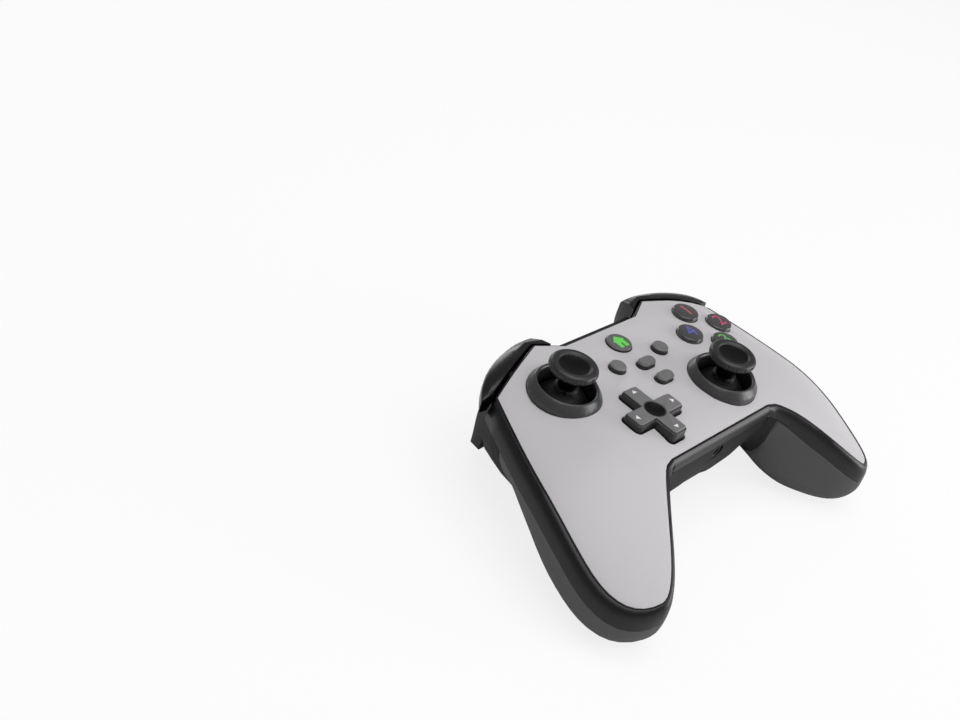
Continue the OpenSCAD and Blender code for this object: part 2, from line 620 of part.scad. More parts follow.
// Brackets in front of the bay's wall, with an ear at each end of the pin and a tab for the switch
bracket_t = 1.6;
bracket_gap = 0.4;
bracket_x = [trigger_x[0] - bracket_t - bracket_gap, trigger_x[1] + bracket_gap];
bracket_plate_t = 1.2;
ear_r = hub_r - 0.2;
bracket_y = bay_y - bay_slope * (bracket_x[0] - notch[0]) + seam_gap;
bracket_z = [trigger_z + ear_r, bay_rim - 0.4];
tab_z = bumper_low - 6;
tab_w = 6;
switch_x = trigger_x[1] - tab_w / 2;
module trigger_pins() {
    color("#9a9a9c") both_sides() at_hub() along_x(trigger_pin_r, bracket_x[0], bracket_x[1] + bracket_t);
}
module trigger_brackets() {
    color("#4a4a4c") both_sides() {
        translate([bracket_x[0], bracket_y, face_h - bracket_z[0]])
            cube([bracket_x[1] + bracket_t - bracket_x[0], bracket_plate_t, bracket_z[0] - bracket_z[1]]);
        translate([switch_x - tab_w / 2, bracket_y, face_h - bracket_z[1] - eps])
            cube([tab_w, bracket_plate_t, bracket_z[1] - tab_z]);
        for (x = bracket_x) difference() {
            translate([x, 0, face_h]) rotate([90, 0, 90]) linear_extrude(bracket_t) hull() {
                translate([trigger_y, -trigger_z]) circle(ear_r, $fn = 32);
                translate([bracket_y, -bracket_z[0]]) square([bracket_plate_t, bracket_z[0] - bracket_z[1]]);
            }
            at_hub() along_x(trigger_pin_r, x - 1, x + bracket_t + 1);
        }
    }
}
module trigger_springs() {
    color("#b0b0b2") both_sides() at_hub() difference() {
        along_x(hub_r - 0.9, trigger_x[0] - 0.3, trigger_x[0] + spring_l - 0.3);
        along_x(trigger_pin_r + run_gap, trigger_x[0] - 1, trigger_x[0] + spring_l);
    }
}
module bumper_switches() {
    color("#777779") both_sides() translate([switch_x, bracket_y + bracket_plate_t, face_h - tab_z - 2.4]) {
        translate([-tab_w / 2, 0, -2.2]) cube([tab_w, switch_t, 4.4]);
        along_y(0.9, switch_t - eps, switch_t + 0.5);
    }
}
switch_t = 1.2;

// Thumb sticks: a bezel in the plate, a cap and dome that ride on a spindle, and a saddle and an
// arch that turn on crossed axes in the stick's frame
module at_pivot(p) { at_face(p, -pivot_depth) children(); }
rim_h = pivot_depth + cap_rise;
cap_floor = rim_h - 1;
module bezel() {
    rotate_extrude($fn = 96) polygon([[bezel_open + 0.4, -seat - deck_t], [bezel_open + 1.5, -seat - deck_t],
        [bezel_open + 1.5, -seat], [bezel_r, -seat], [bezel_r, 0.2], [bezel_r - 0.3, 0.9],
        [bezel_open + 1.2, bezel_h - 0.2], [bezel_open + 0.9, bezel_h], [bezel_open + 0.4, bezel_h - 0.15],
        [bezel_open, bezel_h - 0.8]]);
}
module left_bezel() { color("#454547") at_face(left_stick) bezel(); }
module right_bezel() { color("#454547") at_face(right_stick) bezel(); }
dish_drop = 1.3;
module stick_cap() {
    difference() {
        rotate_extrude($fn = 96) {
            translate([cap_r - rim_r, rim_h]) circle(rim_r);
            polygon([[0, dome_r + 0.3], [neck_r, dome_r + 0.3], [neck_r, rim_h - rim_r - 1],
                [neck_r + 1.2, rim_h - rim_r], [cap_r - rim_r, rim_h - rim_r], [cap_r - rim_r, rim_h + rim_r],
                [cap_r - 2 * rim_r, rim_h + 0.9], [cap_r / 3, rim_h + rim_r - dish_drop], [0, rim_h + 0.3]]);
        }
        translate([0, 0, dome_r]) cylinder(r = spindle_r + run_gap, h = cap_floor - dome_r);
        for (n = [1:cap_notches]) rotate(n * 360 / cap_notches)
            translate([cap_r + 0.2, 0, rim_h - rim_r]) cylinder(r = 0.5, h = 2 * rim_r, $fn = 24);
    }
}
module stick_dome() {
    side = 2 * dome_r;
    difference() {
        rotate_extrude($fn = 96) {
            intersection() {
                difference() { circle(dome_r, $fn = 96); circle(dome_r - dome_t, $fn = 96); }
                polygon([[0, 0], [side * sin(dome_angle), side * cos(dome_angle)], [side, side], [0, side]]);
            }
            translate([0, dome_r - dome_t]) square([neck_r + 0.9, dome_t + 0.2]);
        }
        translate([0, 0, 1]) cylinder(r = spindle_r + run_gap, h = side);
    }
}
cross_pin_r = 0.8;
hub_size = [6.4, 5, 2.6];
hub_window = [4.6, 3.4];
frame_half = 6.3;
frame_t = 1;
frame_top = 2.2;
journal_end = 6.9;
saddle_r = 1.3;
arch_journal_r = 1.1;
arch_r = [4.1, 5];
module spindle() {
    translate([0, 0, -1.2]) cylinder(r = spindle_r, h = cap_floor - 1 + 1.2);
    along_y(cross_pin_r, -hub_size[1] / 2 + 0.1, hub_size[1] / 2 - 0.1);
}
module saddle() {
    difference() {
        cube(hub_size, center = true);
        cube([hub_window[0], hub_window[1], 2 * hub_size[2]], center = true);
        along_y(cross_pin_r + run_gap, -hub_size[1], hub_size[1]);
    }
    for (s = [0, 180]) rotate(s) along_x(saddle_r, hub_size[0] / 2 - 0.2, journal_end);
}
module arch() {
    difference() {
        along_x(arch_r[1], -2.7, 2.7);
        along_x(arch_r[0], -3, 3);
        translate([-4, -8, -16]) cube(16);
        translate([-spindle_r - 0.25, -3.6, 0]) cube([2 * spindle_r + 0.5, 7.2, 8]);
    }
    for (s = [0, 180]) rotate(s) along_y(arch_journal_r, arch_r[0] + 0.2, journal_end);
}
module stick_frame() {
    low = pivot_depth - board_depth;
    difference() {
        translate([-frame_half, -frame_half, low]) cube([2 * frame_half, 2 * frame_half, frame_top - low]);
        translate([-frame_half + frame_t, -frame_half + frame_t, low + 0.8])
            cube([2, 2, 0] * (frame_half - frame_t) + [0, 0, 12]);
        along_x(saddle_r + run_gap, -9, 9);
        along_y(arch_journal_r + run_gap, -9, 9);
    }
}
sensor_t = 1.9;
sensor_half = 3.4;
sensor_top = 1.9;
module stick_sensors() {
    low = pivot_depth - board_depth;
    for (a = [0, -90]) rotate(a) difference() {
        translate([frame_half + run_gap, -sensor_half, low])
            cube([sensor_t, 2 * sensor_half, sensor_top - low]);
        along_x(saddle_r + 0.2, frame_half - 1, journal_end + 0.3);
    }
}
module left_stick_cap() { color("#3a3a3c") at_pivot(left_stick) stick_cap(); }
module right_stick_cap() { color("#3a3a3c") at_pivot(right_stick) stick_cap(); }
module left_stick_dome() { color("#111112") at_pivot(left_stick) stick_dome(); }
module right_stick_dome() { color("#111112") at_pivot(right_stick) stick_dome(); }
module left_spindle() { color("#e0e0da") at_pivot(left_stick) spindle(); }
module right_spindle() { color("#e0e0da") at_pivot(right_stick) spindle(); }
module left_saddle() { color("#d0d0ca") at_pivot(left_stick) saddle(); }
module right_saddle() { color("#d0d0ca") at_pivot(right_stick) saddle(); }
module left_arch() { color("#d8d8d2") at_pivot(left_stick) arch(); }
module right_arch() { color("#d8d8d2") at_pivot(right_stick) arch(); }
module left_stick_frame() { color("#9c9c9e") at_pivot(left_stick) stick_frame(); }
module right_stick_frame() { color("#9c9c9e") at_pivot(right_stick) stick_frame(); }
module left_stick_sensors() { color("#2f5d3a") at_pivot(left_stick) stick_sensors(); }
module right_stick_sensors() { color("#2f5d3a") at_pivot(right_stick) stick_sensors(); }

// Cross pad: a stepped cross with a dished middle that rocks on a ball
pad_flange_r = 9.5;
pad_flange_t = 1.3;
pad_flange_top = seat + deck_t + pad_flange_r * sin(pad_tilt) + drop(pad_at - [0, pad_flange_r]) + 0.4;
pad_peg_at = 7.6;
pad_travel = pad_peg_at * sin(pad_tilt);
pad_tier = 0.8;
pad_step = 0.6;
pad_gap = button_gap + 0.4;
dish_depth = 0.9;
dish_ball_r = (dish_r * dish_r + dish_depth * dish_depth) / (2 * dish_depth);
module cross_pad() {
    low = pad_flange_top + pad_flange_t;
    color("#6e6e70") at_face(pad_at) difference() {
        union() {
            translate([0, 0, -low]) linear_extrude(low + pad_rise - pad_tier) cross();
            translate([0, 0, pad_rise - pad_tier - eps]) linear_extrude(pad_tier + eps) cross(-pad_step);
            translate([0, 0, -low]) cylinder(r = pad_flange_r, h = pad_flange_t);
            for (a = [0:90:270]) rotate(a) translate([pad_peg_at, 0, -stem_end(pad_travel)])
                cylinder(r = 1.5, h = stem_end(pad_travel) - low + eps);
        }
        translate([0, 0, pad_rise + dish_ball_r - dish_depth]) sphere(dish_ball_r);
        translate([0, 0, -ball_depth]) sphere(ball_r + run_gap);
        translate([0, 0, -low - 1]) cylinder(r = ball_r + 0.7, h = low + 1 - ball_depth - 0.7);
    }
}
module pad_ball() { color("#c8c8c8") at_face(pad_at, -ball_depth) sphere(ball_r); }
post_pad_r = 1.9;
module pad_post() {
    color("#e0e0da") at_face(pad_at) difference() {
        translate([0, 0, -board_depth]) cylinder(r = post_pad_r, h = board_depth - ball_depth - 1);
        translate([0, 0, -ball_depth]) sphere(ball_r + run_gap);
    }
}

// Face buttons and centre buttons: a cap, a flange below the deck and a stem to the membrane
lug_reach = 5.6;
lug_w = 4;
lug_t = 1;
function lug_top(n) = seat + deck_t + 0.3 + drop(button_at[n] + [lug_reach, 0]);
module face_button(n) {
    crown = 0.5;
    ball = (button_r * button_r + crown * crown) / (2 * crown);
    low = stem_end(button_travel);
    rise = button_rise - drop(button_at[n]);
    barrel = lug_top(n) + lug_t;
    at_face(button_at[n]) {
        intersection() {
            rotate_extrude() polygon([[0, -low], [3, -low], [3, -barrel], [button_r, -barrel],
                [button_r, rise - 0.7], [button_r - 0.5, rise], [0, rise]]);
            translate([0, 0, rise - ball]) sphere(ball, $fn = 96);
        }
        translate([-lug_reach, -lug_w / 2, -barrel]) cube([2 * lug_reach, lug_w, lug_t]);
    }
}
module button_top() { color("#4c4648") face_button(0); }
module button_right() { color("#4c4648") face_button(1); }
module button_bottom() { color("#4c4648") face_button(2); }
module button_left() { color("#4c4648") face_button(3); }
small_flange = [seat + deck_t + 0.3, 1];
module small_stem(r) {
    translate([0, 0, -small_flange[0] - small_flange[1]]) cylinder(r = r, h = small_flange[1]);
    low = stem_end(small_travel);
    translate([0, 0, -low]) cylinder(r = 1.8, h = low - small_flange[0]);
}
module home_button() {
    color("#8a8a8c") at_face(home_at) {
        rotate_extrude() polygon([[0, -small_flange[0] - 0.5], [home_r, -small_flange[0] - 0.5],
            [home_r, home_rise - 0.4], [home_r - 0.4, home_rise], [0, home_rise]]);
        small_stem(home_r + 0.7);
    }
}
module round_button(p) {
    at_face(p) {
        rotate_extrude() polygon([[0, -small_flange[0] - 0.5], [round_r, -small_flange[0] - 0.5],
            [round_r, small_rise - 0.5], [round_r - 0.4, small_rise - 0.1], [round_r - 1, small_rise],
            [0, small_rise]]);
        small_stem(round_r + 0.7);
    }
}
module left_round_button() { color("#77777a") round_button(round_places[0]); }
module right_round_button() { color("#77777a") round_button(round_places[1]); }
module oblong_button(p) {
    at_face(p) {
        translate([0, 0, -small_flange[0] - 0.5]) linear_extrude(small_flange[0] + 0.5 + small_rise - 0.4)
            stadium(oblong_size);
        translate([0, 0, small_rise - 0.4 - eps]) linear_extrude(0.4 + eps) stadium(oblong_size - [0.8, 0.8]);
        translate([0, 0, -small_flange[0] - small_flange[1]]) linear_extrude(small_flange[1])
            stadium(oblong_size + [1, 1]);
        small_stem(1.8);
    }
}
module upper_oblong_button() { color("#77777a") oblong_button(oblong_places[0]); }
module lower_oblong_button() { color("#77777a") oblong_button(oblong_places[1]); }

// Membranes: rubber sheets on the board with a dome under each button
pad_edge = 4.2;
module dome_at(p, r, travel) {
    at_face(p, -board_depth + membrane_t - eps) cylinder(r1 = r + 0.8, r2 = r, h = dome_h(travel) + eps);
}
module button_membrane() {
    color("#a9a9ab") {
        at_face(cluster_at, -board_depth) for (a = [0, 90]) rotate(a) linear_extrude(membrane_t)
            round_rect([2 * (cluster_pitch + pad_edge), 2 * pad_edge], 2);
        for (p = button_at) dome_at(p, 3, button_travel);
    }
}
module pad_membrane() {
    color("#a9a9ab") difference() {
        union() {
            at_face(pad_at, -board_depth) cylinder(r = pad_peg_at + 2.6, h = membrane_t);
            for (d = [[0, 1], [1, 0], [0, -1], [-1, 0]]) dome_at(pad_at + pad_peg_at * d, 1.6, pad_travel);
        }
        at_face(pad_at, -board_depth - 1) cylinder(r = post_pad_r + 0.4, h = 5);
    }
}
module centre_membrane() {
    color("#a9a9ab") {
        y0 = lower_y - 4;
        y1 = home_at[1] + 4;
        at_face([0, (y0 + y1) / 2], -board_depth) linear_extrude(membrane_t)
            round_rect([oblong_l + 3.2, y1 - y0], 2);
        at_face([0, round_at[1]], -board_depth) linear_extrude(membrane_t)
            round_rect([2 * (round_at[0] + round_r + 0.5), 2 * round_r + 2], 2);
        for (p = concat([home_at], round_places, oblong_places)) dome_at(p, 1.9, small_travel);
    }
}

// Board with its chips, and the battery below it
board_edge = 3.5;
board_half = screw_places[0][0] + post_r + board_edge;
board_y = [near_end[1] + 4.5, bay_y - 5.5];
tongue_half = 9;
module main_board() {
    color("#1f5b34") translate([0, 0, board_z - board_t]) linear_extrude(board_t) difference() {
        union() {
            translate([0, (board_y[0] + board_y[1]) / 2])
                round_rect([2 * board_half, board_y[1] - board_y[0]], 3);
            translate([-tongue_half, 0]) square([2 * tongue_half, bridge_y[0] - 0.4]);
        }
        for (s = [-1, 1]) translate([s * screw_places[0][0], screw_places[0][1]]) circle(post_r + 0.5);
    }
}
// Chips below the board: shares of its half width and of its depth, then their sizes
chips = [[-0.12, 0.68, 9, 9], [0.27, 0.4, 7, 5], [-0.46, 0.15, 6, 6], [0.63, 0.5, 5, 8], [-0.65, 0.46, 5, 4]];
chip_t = 1.2;
module board_chips() {
    color("#202022") for (c = chips)
        translate([c[0] * board_half, mix(board_y[0], board_y[1], c[1]), board_z - board_t - chip_t])
            cube([c[2], c[3], chip_t]);
}
module battery() {
    color("#5a6068") translate([0, battery_y, wall + rail_h + run_gap])
        linear_extrude(battery_h) round_rect([battery_l, battery_w], 3);
}

// Rumble motors in the grips, each with an off-centre weight, in cradles on the grip's floor
motor_station = corner_i + 10;
motor_at = middle(motor_station);
motor_z = floor_at(station_t[motor_station]) + wall + weight_r + 4.5;
motor_boss = 1;
shaft_r = 1;
shaft_l = 7;
weight_l = 5.5;
cradle_w = 8;
module at_motor() { translate([motor_at[0], motor_at[1], motor_z]) children(); }
module motor() {
    at_motor() {
        along_x(motor_r, -motor_l / 2, motor_l / 2);
        along_x(2, motor_l / 2 - eps, motor_l / 2 + motor_boss);
        along_x(shaft_r, -motor_l / 2 - shaft_l, -motor_l / 2 + eps);
    }
}
module weight() {
    at_motor() translate([-motor_l / 2 - shaft_l + 0.5, 0, 0]) difference() {
        along_x(weight_r, 0, weight_l);
        translate([-1, -weight_r - 1, 2.5]) cube([weight_l + 2, 2 * weight_r + 2, weight_r]);
        along_x(shaft_r + run_gap, -1, weight_l + 1);
    }
}
module left_motor() { color("#b4b4b6") mirror([1, 0, 0]) motor(); }
module right_motor() { color("#b4b4b6") motor(); }
module left_weight() { color("#8d8a84") mirror([1, 0, 0]) weight(); }
module right_weight() { color("#8d8a84") weight(); }
// The room inside a grip, a seam clear of its floor
function room_loop(k) = let (s = station(k), low = rear_profile(s[0], wall + run_gap))
    [for (p = concat(low, [for (q = rev(low)) [q[0], q[1], motor_z]])) flip(p, s[1])];
module motor_cradles() {
    color("#505052") both_sides() difference() {
        intersection() {
            at_motor() translate([-cradle_w / 2, -cradle_w / 2, -motor_z])
                cube([cradle_w, cradle_w, motor_z - 2]);
            loft([for (k = [grip_k + 1:grip_k + 13]) room_loop(k)], rear_open, rear_open);
        }
        at_motor() along_x(motor_r + run_gap, -motor_l, motor_l);
    }
}

// Sockets
jack_flange_r = 2.7;
jack_sink = 0.9;
jack_body = [7, 13];
module audio_socket() {
    color("#0f0f10") at_face([0, jack_y], -jack_z) difference() {
        union() {
            along_y(jack_flange_r, jack_sink, 4);
            translate([-jack_body[0] / 2, 3, jack_z - board_depth])
                cube([jack_body[0], jack_body[1], board_depth - jack_z + jack_flange_r]);
        }
        along_y(jack_r, -1, jack_sink + jack_depth);
    }
}
usb_wall = 0.3;
module usb_socket() {
    depth = 7.3;
    tongue = [6.7, 0.7];
    color("#c9c9cb") translate([0, bridge_y[1], face_h - usb_z]) rotate([90, 0, 0]) {
        difference() {
            linear_extrude(depth) stadium(usb_size);
            translate([0, 0, -1]) linear_extrude(depth) stadium(usb_size - [2, 2] * usb_wall);
        }
        translate([0, 0, 1]) linear_extrude(depth - 1.5) square(tongue, center = true);
    }
}

face_plate();
front_shell();
rear_cover();
left_grip();
right_grip();
bridge();
left_bezel();
right_bezel();
left_stick_cap();
right_stick_cap();
left_stick_dome();
right_stick_dome();
left_spindle();
right_spindle();
left_saddle();
right_saddle();
left_arch();
right_arch();
left_stick_frame();
right_stick_frame();
left_stick_sensors();
right_stick_sensors();
cross_pad();
pad_ball();
pad_post();
button_top();
button_right();
button_bottom();
button_left();
home_button();
left_round_button();
right_round_button();
upper_oblong_button();
lower_oblong_button();
button_membrane();
pad_membrane();
centre_membrane();
main_board();
board_chips();
battery();
left_motor();
right_motor();
left_weight();
right_weight();
motor_cradles();
left_bumper();
right_bumper();
bumper_pins();
bumper_switches();
left_trigger();
right_trigger();
trigger_pins();
trigger_brackets();
trigger_springs();
audio_socket();
usb_socket();
case_screws();
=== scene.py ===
"""Looks of a two-handed wireless gamepad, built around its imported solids."""
import json
import math

import bpy
from bpy.props import FloatProperty, FloatVectorProperty, IntProperty, PointerProperty
from mathutils import Matrix, Vector

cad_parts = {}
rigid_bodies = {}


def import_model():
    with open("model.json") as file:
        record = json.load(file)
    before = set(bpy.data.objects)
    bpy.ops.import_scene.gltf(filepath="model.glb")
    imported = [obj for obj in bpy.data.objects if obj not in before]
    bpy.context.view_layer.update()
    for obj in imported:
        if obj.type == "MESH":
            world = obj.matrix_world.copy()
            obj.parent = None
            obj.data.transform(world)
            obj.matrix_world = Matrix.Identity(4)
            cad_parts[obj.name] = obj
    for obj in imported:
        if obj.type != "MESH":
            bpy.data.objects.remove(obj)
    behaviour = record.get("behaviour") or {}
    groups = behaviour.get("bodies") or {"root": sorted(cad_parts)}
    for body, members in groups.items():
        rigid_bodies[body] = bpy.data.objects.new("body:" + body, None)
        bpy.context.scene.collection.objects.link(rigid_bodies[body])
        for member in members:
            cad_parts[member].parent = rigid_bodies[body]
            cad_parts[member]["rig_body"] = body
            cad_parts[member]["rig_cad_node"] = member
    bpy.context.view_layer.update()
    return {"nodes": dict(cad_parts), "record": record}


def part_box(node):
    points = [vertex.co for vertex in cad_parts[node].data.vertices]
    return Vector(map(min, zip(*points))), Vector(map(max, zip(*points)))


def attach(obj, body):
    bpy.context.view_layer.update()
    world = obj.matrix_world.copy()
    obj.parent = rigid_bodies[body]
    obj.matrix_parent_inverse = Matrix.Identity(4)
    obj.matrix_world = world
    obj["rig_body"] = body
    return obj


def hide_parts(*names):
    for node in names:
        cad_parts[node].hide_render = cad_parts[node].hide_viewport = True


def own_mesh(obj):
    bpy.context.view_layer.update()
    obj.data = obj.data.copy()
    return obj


bl_info = {
    "name": "Gamepad looks",
    "version": (1, 0, 0),
    "blender": (4, 5, 0),
    "location": "3D View > Sidebar > Gamepad",
    "description": "Finishes the shells, sticks, pad, buttons, bumpers and triggers of a gamepad",
    "category": "Object",
}

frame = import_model()
record = frame["record"]
body_of_node = {n: b for b, nodes in record["behaviour"]["bodies"].items() for n in nodes}
SIDES = ("left", "right")
FACE_BUTTONS = ("button_top", "button_right", "button_bottom", "button_left")
SMALL_BUTTONS = ("left_round_button", "right_round_button", "upper_oblong_button", "lower_oblong_button")


# Sizes and colours

def colour(name, description, value):
    return FloatVectorProperty(name=name, description=description, default=value, size=3,
                               subtype="COLOR", min=0, max=1)


def length(name, description, value):
    return FloatProperty(name=name, description=description, default=value, min=0,
                         subtype="DISTANCE", unit="LENGTH", precision=5)


def power(name, description, value):
    return FloatProperty(name=name, description=description, default=value, min=0, unit="POWER")


class GamepadShellSettings(bpy.types.PropertyGroup):
    """Finishes of plate, band, rear shells, bumpers and triggers"""
    plate_colour: colour("Plate", "Colour of the face plate", (0.525, 0.508, 0.527))
    band_colour: colour("Band", "Colour of the bevelled band, bumpers and triggers", (0.0032, 0.0032, 0.0034))
    rear_colour: colour("Rear", "Colour of the rear cover", (0.011, 0.011, 0.0113))
    grip_colour: colour("Grips", "Colour of the grip shells", (0.08, 0.08, 0.082))
    grain: length("Grain", "Size of the moulded grain", 0.0003)
    edge: length("Edge", "Roundness of the moulded edges", 0.00025)


class GamepadControlSettings(bpy.types.PropertyGroup):
    """Finishes of sticks, cross pad and buttons"""
    bezel_colour: colour("Bezels", "Colour of the stick bezels", (0.035, 0.035, 0.037))
    cap_colour: colour("Caps", "Colour of the thumb caps", (0.0085, 0.0085, 0.0088))
    dome_colour: colour("Domes", "Colour of the dust domes", (0.002, 0.002, 0.0022))
    pad_colour: colour("Cross pad", "Colour of the cross pad", (0.15, 0.15, 0.153))
    button_colour: colour("Face buttons", "Smoky colour of the face buttons", (0.05, 0.048, 0.049))
    small_colour: colour("Small buttons", "Colour of the round and oblong buttons", (0.15, 0.15, 0.152))
    home_colour: colour("Home button", "Colour of the home button", (0.11, 0.11, 0.11))
    sign_colour: colour("Home sign", "Colour of the sign on the home button", (0.13, 0.66, 0.09))
    arrow_size: length("Arrow size", "Width of the arrows on the cross pad", 0.0021)
    sign_size: length("Home sign size", "Width of the sign on the home button", 0.0058)
    numeral_size: length("Numeral size", "Height of the numerals on the face buttons", 0.0082)
    cup_wall: length("Cup wall", "Wall of the dust cup below each bezel", 0.0003)
    cup_drop: length("Cup drop", "Depth of the dust cup's floor below the stick's pivot", 0.001)
    sheet: length("Membrane", "Thickness of the rubber membranes", 0.0012)
    pressed: FloatProperty(name="Pressed", description="Share of a rubber dome's height left under a press",
                           default=0.15, min=0.05, max=1)
    knurls: IntProperty(name="Knurls", description="Ribs round each thumb cap", default=72, min=12, max=160)


class GamepadStageSettings(bpy.types.PropertyGroup):
    """Floor, light and camera"""
    floor_colour: colour("Floor", "Colour of the floor", (0.9, 0.9, 0.9))
    world_level: FloatProperty(name="Surroundings", description="Light from all round", default=0.3, min=0)
    top_power: power("Top", "Power of the top light", 9.5)
    key_power: power("Key", "Power of the key light", 8)
    rim_power: power("Rim", "Power of the rim light", 1.5)
    lens: FloatProperty(name="Lens", description="Focal length of the camera in millimetres",
                        default=46.86, min=1)
    camera_at: FloatVectorProperty(name="Camera", description="Place of the camera", size=3,
                                   default=(-0.32937, -0.14308, 0.28306), subtype="TRANSLATION",
                                   unit="LENGTH")
    camera_forward: FloatVectorProperty(name="Looks along", size=3,
                                        description="Direction that the camera looks along",
                                        default=(0.6680, 0.4631, -0.5825), subtype="DIRECTION")
    camera_up: FloatVectorProperty(name="Up", description="Direction that is up in the picture", size=3,
                                   default=(0.2805, 0.5683, 0.7735), subtype="DIRECTION")


# Shader maths

class Value:
    """A shader output that takes part in arithmetic"""

    def __init__(self, finish, socket):
        self.finish, self.socket = finish, socket

    def math(self, operation, *terms):
        return self.finish.node("ShaderNodeMath", {"operation": operation}, dict(enumerate(terms)))

    def __add__(self, other):
        return self.math("ADD", self, other)

    def __sub__(self, other):
        return self.math("SUBTRACT", self, other)

    def __rsub__(self, other):
        return self.math("SUBTRACT", other, self)

    def __mul__(self, other):
        return self.math("MULTIPLY", self, other)

    def __pow__(self, other):
        return self.math("POWER", self, other)

    def __gt__(self, other):
        return self.math("GREATER_THAN", self, other)

    def __lt__(self, other):
        return self.math("LESS_THAN", self, other)

    def sine(self):
        return self.math("SINE", self)

    def angle_from(self, other):
        return self.math("ARCTAN2", self, other)

    __radd__ = __add__
    __rmul__ = __mul__


class Finish:
    """A procedural material whose patterns lie on the object's own coordinates"""

    def __init__(self, name, **constants):
        self.material = bpy.data.materials.new(name)
        self.material.use_nodes = True
        self.tree = self.material.node_tree
        self.shader = self.tree.nodes["Principled BSDF"]
        self.set(**constants)
        self.place = self.node("ShaderNodeTexCoord", output="Object")

    def node(self, kind, settings=None, inputs=None, output=0):
        made = self.tree.nodes.new(kind)
        for key, value in (settings or {}).items():
            setattr(made, key, value)
        for key, value in (inputs or {}).items():
            if isinstance(value, Value):
                self.tree.links.new(value.socket, made.inputs[key])
            else:
                made.inputs[key].default_value = value
        return Value(self, made.outputs[output])

    def set(self, **sockets):
        for key, value in sockets.items():
            socket = self.shader.inputs[key.replace("_", " ").title().replace("Ior", "IOR")]
            if isinstance(value, Value):
                self.tree.links.new(value.socket, socket)
            elif socket.type == "RGBA":
                socket.default_value = (*value, 1)
            else:
                socket.default_value = value

    def axes(self):
        parts = self.node("ShaderNodeSeparateXYZ", inputs={0: self.place}).socket.node.outputs
        return [Value(self, out) for out in parts]

    def noise(self, size, detail=2.0):
        return self.node("ShaderNodeTexNoise", inputs={
            "Vector": self.place, "Scale": 1 / size, "Detail": detail})

    def mix(self, mask, low, high):
        both = [c if isinstance(c, Value) else (*c, 1) for c in (low, high)]
        return self.node("ShaderNodeMix", {"data_type": "RGBA"}, {0: mask, 6: both[0], 7: both[1]}, output=2)

    def bump(self, height, depth):
        self.set(normal=self.node("ShaderNodeBump", inputs={
            "Strength": 1.0, "Distance": depth, "Height": height}))


def shade(tint, factor):
    return tuple(min(1, c * factor) for c in tint)


def moulded(name, tint, rough, grain, depth, variation=0.06, **constants):
    """Moulded plastic or rubber: fine grain, and tone and gloss that vary a little"""
    finish = Finish(name, **constants)
    cloud = finish.noise(0.02, detail=3)
    speck = finish.noise(grain)
    finish.set(base_color=finish.mix(cloud, shade(tint, 1 - variation), shade(tint, 1 + variation)),
               roughness=cloud * 0.08 + speck * 0.06 + (rough - 0.07))
    finish.bump(speck, depth)
    return finish


def metal(name, tint, rough, **constants):
    """Drawn or turned metal: fine lines and small changes of gloss"""
    finish = Finish(name, metallic=1.0, **constants)
    cloud = finish.noise(0.004, detail=3)
    speck = finish.noise(0.0002)
    finish.set(base_color=finish.mix(cloud, shade(tint, 0.85), shade(tint, 1.1)),
               roughness=cloud * 0.12 + (rough - 0.06))
    finish.bump(speck, 0.000004)
    return finish


# Modelling

# Corners of a copy closer than this become one, and faces flat within the angle become one
WELD = 0.000002
FLAT = math.radians(0.3)
# Marks are draped from this height above a button and end this far off its surface
MARK_LIFT = Vector((0, 0, 0.001))
MARK_GAP = 0.00001


def pick(obj):
    bpy.ops.object.select_all(action="DESELECT")
    obj.select_set(True)
    bpy.context.view_layer.objects.active = obj


def apply_modifier(obj, kind, **settings):
    pick(obj)
    modifier = obj.modifiers.new(kind.title(), kind)
    for key, value in settings.items():
        setattr(modifier, key, value)
    bpy.ops.object.modifier_apply(modifier=modifier.name)


def dress(obj, finish, body):
    obj.data.materials.clear()
    obj.data.materials.append(finish.material)
    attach(obj, body)
    return obj


def copy_of(node):
    """A welded copy of a CAD node that is free to be shaped"""
    pick(frame["nodes"][node])
    bpy.ops.object.duplicate()
    piece = bpy.context.object
    piece.name = node + "_skin"
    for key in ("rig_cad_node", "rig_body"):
        del piece[key]
    bpy.ops.object.mode_set(mode="EDIT")
    bpy.ops.mesh.select_all(action="SELECT")
    bpy.ops.mesh.remove_doubles(threshold=WELD)
    bpy.ops.mesh.dissolve_limited(angle_limit=FLAT)
    bpy.ops.object.mode_set(mode="OBJECT")
    return piece


def skin(node, finish, edge=0.0, edge_angle=35, smooth_angle=32):
    """A smooth copy of a CAD node with rounded edges, which stands for it"""
    piece = copy_of(node)
    if edge:
        apply_modifier(piece, "BEVEL", width=edge, segments=3, limit_method="ANGLE",
                       angle_limit=math.radians(edge_angle), miter_outer="MITER_ARC", harden_normals=False)
    pick(piece)
    bpy.ops.object.shade_smooth_by_angle(angle=math.radians(smooth_angle))
    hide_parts(node)
    return dress(piece, finish, body_of_node[node])


def coat(node, finish):
    """A better material on a CAD node whose shape stays"""
    materials = frame["nodes"][node].data.materials
    materials.clear()
    materials.append(finish.material)


def middle(node):
    low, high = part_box(node)
    return Vector(((low.x + high.x) / 2, (low.y + high.y) / 2, high.z))


def settle(obj, place):
    """Moves a flat mark to its place and puts that place into its mesh"""
    obj.location = place
    pick(obj)
    bpy.ops.object.transform_apply(location=True, rotation=True, scale=True)


